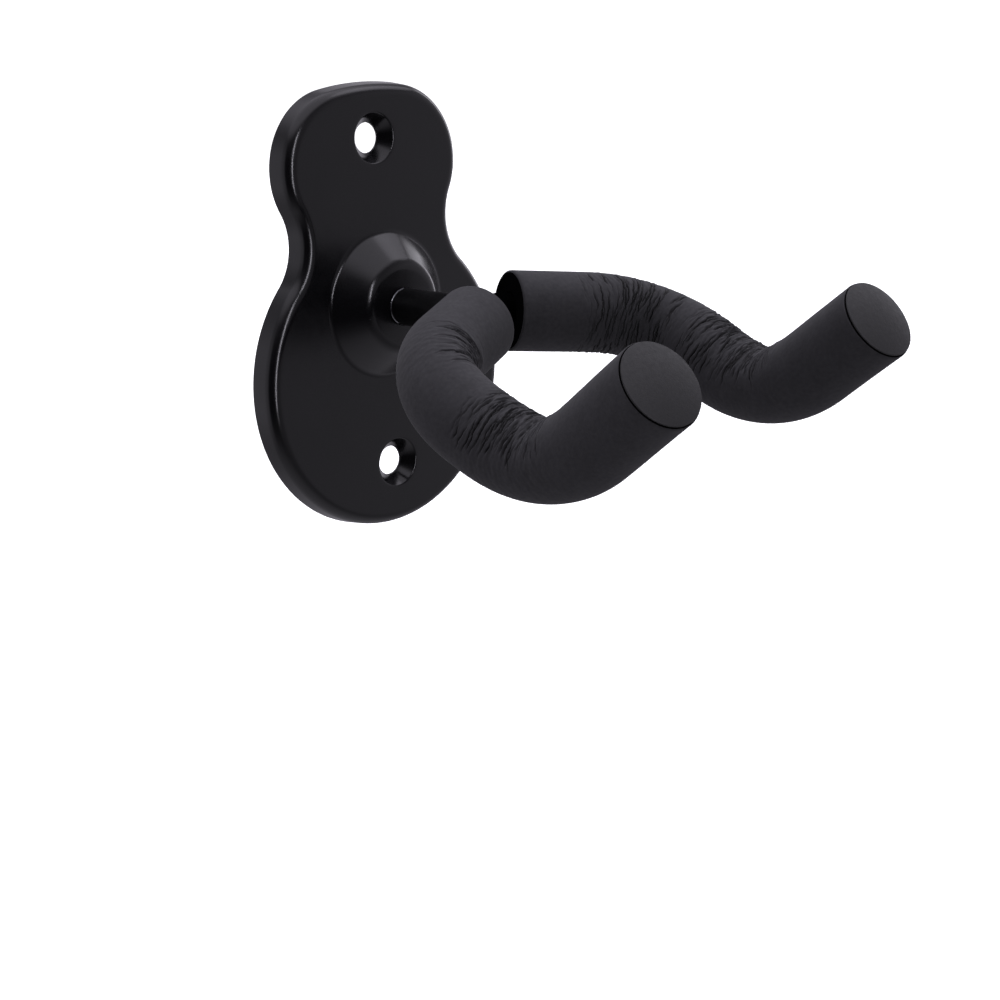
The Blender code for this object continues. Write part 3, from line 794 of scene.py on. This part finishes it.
def sleeve_relief(side, route, s, theta, frames):
    """How far the foam stands out from its smooth tube at each point, and how deep its creases are."""
    rng = np.random.default_rng(SLEEVE_SEED[side])
    relief = np.zeros((len(s), len(theta)))
    cuts, swells = relief.copy(), relief.copy()
    towards = []
    for start, turn, radius, inner in route.bends:
        centre = start + radius * turn / 2
        row = int(np.argmin(np.abs(s - centre)))
        toward = math.atan2(inner.dot(Vector(frames[2][row])), inner.dot(Vector(frames[1][row])))
        towards.append((centre, toward))
        # The inner side runs straight into a fold at the bend's middle, and not round an arc
        inner_radius = radius - FOAM_RADIUS
        from_end = np.clip(turn / 2 - np.abs(s - centre) / radius, 0.0, None)
        depth = BUCKLE_SHARE * inner_radius * (1 / np.cos(from_end) - 1)
        facing = np.clip(np.cos(theta - toward), 0.0, None) ** 1.6
        relief -= depth[:, None] * facing[None, :]
    for bend, shift, reach, spread, spacing, depth in CREASE_BANDS[side]:
        centre, toward = towards[bend]
        middle = centre + shift
        relief += pucker(s, theta, middle, reach * 0.8, spread, toward, rng)
        for step in np.arange(-reach, reach, spacing):
            for _ in range(CREASES_A_STEP):
                place = middle + step + spacing * rng.uniform(-0.45, 0.45)
                deep = depth * rng.uniform(0.25, 1.0) * (1.0 - (step / reach) ** 4)
                near, cut, swell = crease(s, theta, rng, place, toward, spread, deep)
                cuts[near] = np.maximum(cuts[near], cut)
                swells[near] += 0.7 * swell
    relief += swells - cuts
    for size, along, round_ in ((0.05, 90.0, 2), (0.04, 210.0, 3)):
        wave = np.sin(along * s[:, None] + rng.uniform(0, 6)) * np.sin(round_ * theta[None, :] + 1.0)
        relief += size * MM * wave
    return relief, cuts


def make_sleeve(side, skin, cut_face_shade):
    """The foam tube: a rolled lip, the creased skin, the other lip, the cut face and the bore. The end lip's
    outer edge, both cut ends and the bore take a near-black finish, which paints the shade in the seam under
    the cap and on the unlit ends.
    """
    route = arm_route(side)
    start, end = SLEEVE_START[side], route.length
    low, high = CREASED_STRETCH
    first, last = start + SLEEVE_ROUNDING, end - SLEEVE_ROUNDING
    s = np.concatenate([
        np.arange(first, low, COARSE_STEP),
        np.arange(low, high, FINE_STEP),
        np.arange(high, last - COARSE_STEP / 2, COARSE_STEP),
        [last],
    ])
    theta = np.arange(SLEEVE_STEPS) * math.tau / SLEEVE_STEPS
    # The frames start where the sleeve does, so that every row counts its steps from the same side
    frames = [part[1:] for part in route.frames([start, *s])]
    relief, cuts = sleeve_relief(side, route, s, theta, frames)
    rows = [(start, FOAM_RADIUS - SLEEVE_ROUNDING)]
    for a in np.linspace(0.3, 1.0, 4)[:-1] * math.pi / 2:
        rows.append((
            start + SLEEVE_ROUNDING * (1 - math.cos(a)),
            FOAM_RADIUS - SLEEVE_ROUNDING * (1 - math.sin(a)),
        ))
    lead = len(rows)
    rows += [(float(place), FOAM_RADIUS + relief[i]) for i, place in enumerate(s)]
    for a in np.linspace(0.25, 1.0, 4) * math.pi / 2:
        rows.append((
            last + SLEEVE_ROUNDING * math.sin(a),
            FOAM_RADIUS + relief[-1] * (1 - a / 2) - SLEEVE_ROUNDING * (1 - math.cos(a)),
        ))
    skin_rows = len(rows)
    rows += [(end, FOAM_BORE_RADIUS + t * (FOAM_RADIUS - FOAM_BORE_RADIUS)) for t in (0.7, 0.35)]
    rows += [(float(d), FOAM_BORE_RADIUS) for d in np.linspace(end, start, BORE_ROWS)]
    rows += [(start, FOAM_BORE_RADIUS + t * (FOAM_RADIUS - FOAM_BORE_RADIUS)) for t in (0.35, 0.7)]
    # Painted shade: from the end lip's outer edge on, the ends and the bore take the near-black finish, dark
    # as the shadow in the seam under the cap
    slots = [int(i >= skin_rows - 3) for i in range(len(rows))]
    shape = Shape()
    creases = np.zeros((len(rows), SLEEVE_STEPS))
    # The crease depths, which paint shade into the creases
    creases[lead : lead + len(s)] = cuts / MM
    shape.grid(tube_rows(route, rows, SLEEVE_STEPS), loop=True, slots=slots, creases=creases)
    obj = shape.piece(f"sleeve_{side}", [skin, cut_face_shade], sharp=70.0)
    settle(obj, "yoke", f"foam_sleeve_{side}")
    return route


def make_cap(side, route, finish):
    """The foam disc on a sleeve's end, slightly crowned, with its plug in the tube's bore."""
    end, outward = route.at(route.length)
    rim = GAP + CAP_RIM
    flat = 1 - CAP_ROLL / CAP_RADIUS
    crown = [(CAP_RADIUS * t, rim + CAP_CROWN * (1 - (t / flat) ** 2)) for t in np.linspace(0, flat, 30)]
    profile = [
        *crown,
        *arc((CAP_RADIUS - CAP_ROLL, rim - CAP_ROLL), CAP_ROLL, math.pi / 2 - 0.3, -math.pi / 3, 9),
        (CAP_RADIUS - 0.6 * MM, GAP * 0.3),
        (PLUG_RADIUS, GAP * 0.3),
        (PLUG_RADIUS, GAP - PLUG_LENGTH),
        (PLUG_RADIUS - GAP, -PLUG_LENGTH),
        (0.0, -PLUG_LENGTH),
    ]
    side_way = outward.orthogonal().normalized()
    up_way = outward.cross(side_way)
    angle = np.arange(CAP_STEPS) * math.tau / CAP_STEPS
    spokes = np.cos(angle)[:, None] * np.array(side_way) + np.sin(angle)[:, None] * np.array(up_way)
    shape = Shape()
    shape.grid([np.array(end + outward * height) + radius * spokes for radius, height in profile])
    obj = shape.piece(f"cap_{side}", [finish], sharp=50.0)
    settle(obj, "yoke", f"end_cap_{side}")


# ---------------------------------------------------------------- studio


def make_camera():
    right = CAMERA_FORWARD.cross(CAMERA_UP).normalized()
    up = right.cross(CAMERA_FORWARD).normalized()
    camera = bpy.data.objects.new("camera", bpy.data.cameras.new("camera"))
    camera.data.lens = CAMERA_LENS
    camera.data.sensor_width = 36.0
    camera.data.clip_start = 0.01
    bpy.context.scene.collection.objects.link(camera)
    turn = Matrix((right, up, -CAMERA_FORWARD.normalized())).transposed()
    camera.matrix_world = Matrix.Translation(CAMERA_PLACE) @ turn.to_4x4()
    bpy.context.scene.camera = camera


def aimed(name, data, place, target=Vector((0.0, -0.03, 0.0))):
    lamp = bpy.data.objects.new(name, data)
    bpy.context.scene.collection.objects.link(lamp)
    turn = (target - place).to_track_quat("-Z", "Y").to_matrix().to_4x4()
    lamp.matrix_world = Matrix.Translation(place) @ turn
    return lamp


def softbox(name, bearing, rise, width, height, radiance, colour):
    """A rectangular lamp that only reflections show. Its bearing turns from the front towards +X."""
    bearing, rise = math.radians(bearing), math.radians(rise)
    level = LAMP_DISTANCE * math.cos(rise)
    place = Vector((level * math.sin(bearing), -level * math.cos(bearing), LAMP_DISTANCE * math.sin(rise)))
    lamp = bpy.data.lights.new(name, "AREA")
    lamp.shape = "RECTANGLE"
    lamp.size, lamp.size_y = width, height
    lamp.energy = radiance * math.pi * width * height
    lamp.color = colour
    aimed(name, lamp, place).visible_diffuse = False


def make_world():
    """A dim room whose tone changes with the bearing and with the height."""
    world = bpy.data.worlds.new("studio")
    world.use_nodes = True
    bpy.context.scene.world = world
    tree = world.node_tree

    def node(kind, links=(), **settings):
        made = tree.nodes.new(kind)
        for name, value in settings.items():
            setattr(made, name, value)
        for index, source in enumerate(links):
            if isinstance(source, bpy.types.NodeSocket):
                tree.links.new(source, made.inputs[index])
            else:
                made.inputs[index].default_value = source
        return made

    def tones(value, stops):
        ramp = node("ShaderNodeValToRGB", [value]).color_ramp
        ramp.interpolation = "EASE"
        while len(ramp.elements) < len(stops):
            ramp.elements.new(0.5)
        for element, (position, tone) in zip(ramp.elements, stops, strict=True):
            element.position = position
            element.color = (tone, tone * 0.965, tone * 1.08, 1.0)
        return tree.nodes[-1].outputs[0]

    direction = node("ShaderNodeTexCoord").outputs["Generated"]
    x, y, z = node("ShaderNodeSeparateXYZ", [direction]).outputs
    front = node("ShaderNodeMath", [y, -1.0], operation="MULTIPLY").outputs[0]
    turn = node("ShaderNodeMath", [x, front], operation="ARCTAN2").outputs[0]
    turn = node("ShaderNodeMath", [turn, 1 / math.tau, 0.5], operation="MULTIPLY_ADD").outputs[0]
    around = tones(turn, WORLD_BY_BEARING)
    lift = node("ShaderNodeMath", [z, 0.5, 0.5], operation="MULTIPLY_ADD").outputs[0]
    above = tones(lift, WORLD_BY_HEIGHT)
    level = node("ShaderNodeMath", [z], operation="ABSOLUTE").outputs[0]
    share = node("ShaderNodeMapRange", [level, 0.3, 0.7, 0.0, 1.0]).outputs[0]
    mix = node("ShaderNodeMix", data_type="RGBA")
    for index, source in ((0, share), (6, around), (7, above)):
        tree.links.new(source, mix.inputs[index])
    tree.links.new(mix.outputs[2], tree.nodes["Background"].inputs["Color"])


def glowing(name, roughness, strength):
    """A white finish that also shines by itself."""
    glow = {"Emission_Color": (1.0, 1.0, 1.0, 1.0), "Emission_Strength": strength}
    return Finish(name, (0.9, 0.9, 0.9), roughness, **glow)


def make_unlit(name, finish):
    """Makes the object just added part of the stage, with no effect on the hanger's light."""
    obj = bpy.context.object
    obj.name = name
    obj.data.materials.append(finish.material)
    obj.visible_glossy = obj.visible_diffuse = obj.visible_shadow = False


def make_studio():
    bpy.context.scene.view_settings.view_transform = "Standard"
    make_world()
    sky = bpy.data.lights.new("overhead", "SUN")
    sky.energy = 2.4
    sky.angle = math.radians(60)
    sky.color = (1.0, 0.99, 1.05)
    sun = aimed("overhead", sky, Vector((0.42, 0.15, 0.9)), Vector((0.0, 0.0, 0.0)))
    sun.visible_glossy = False
    softbox("front_strip", -15, 8, 0.13, 1.1, 10.0, (1.0, 0.97, 1.08))
    softbox("right_side", 98, 12, 0.35, 0.9, 1.4, (1.0, 0.98, 1.06))
    softbox("high_right", 77, 47, 0.6, 0.6, 0.9, (1.0, 0.97, 1.08))

    bpy.ops.mesh.primitive_plane_add(size=12.0, location=(0.0, 0.0, FLOOR_Z))
    white = glowing("floor white", 0.7, 0.5)
    white.roughness(white.ramp(white.noise(0.1), 0.65, 0.75))
    make_unlit("floor", white)
    bpy.ops.mesh.primitive_uv_sphere_add(segments=64, ring_count=32, radius=5.9)
    make_unlit("backdrop", glowing("backdrop white", 1.0, 1.0))


# ---------------------------------------------------------------- everything


def main():
    make_camera()
    paint = plate_paint()
    rod = rod_paint("rod paint", 0.003, 0.22)
    bright = zinc("zinc", (0.62, 0.63, 0.66), (0.42, 0.43, 0.46))
    spring = zinc("spring steel", (0.42, 0.41, 0.40), (0.28, 0.27, 0.27))
    skin = foam("foam skin", (0.0265, 0.0259, 0.0292), (0.0213, 0.0208, 0.0235), 0.02 * MM, 0.05)
    # Painted shade: the cut ends and the bore are painted near-black, far darker than the skin, for the
    # shadow in the cap's seam and on the unlit ends
    cut_face_shade = foam("cut foam painted shade", (0.0014, 0.0014, 0.0016), (0.0008, 0.0008, 0.0009), 0.09 * MM, 0.0, 0.03)
    # Painted shade: the caps take a copy of the foam about five times darker than the skin, for the shade on
    # their fronts, which face away from the overhead light
    cap_shaded_light, cap_shaded_dark = (0.0052, 0.0050, 0.0058), (0.0040, 0.0039, 0.0045)
    cap_foam_shaded = foam("cap foam painted shade", cap_shaded_light, cap_shaded_dark, 0.03 * MM, 0.05, 0.6, (0.5, 0.62))
    make_plate(paint)
    nut_top = make_washers(make_bush(bright), bright, spring)
    make_nut(nut_top, bright, nylon())
    make_stem(nut_top, rod, bright)
    # Painted shade: the rod under the foam is a darker copy of the stem's paint with no reflection, as though
    # it lay in the sleeves' shadow
    make_rod(rod_paint("rod under the foam painted shade", 0.001, 0.0))
    make_weld(rod)
    for side in SIDE:
        make_cap(side, make_sleeve(side, skin, cut_face_shade), cap_foam_shaded)
    make_studio()


main()
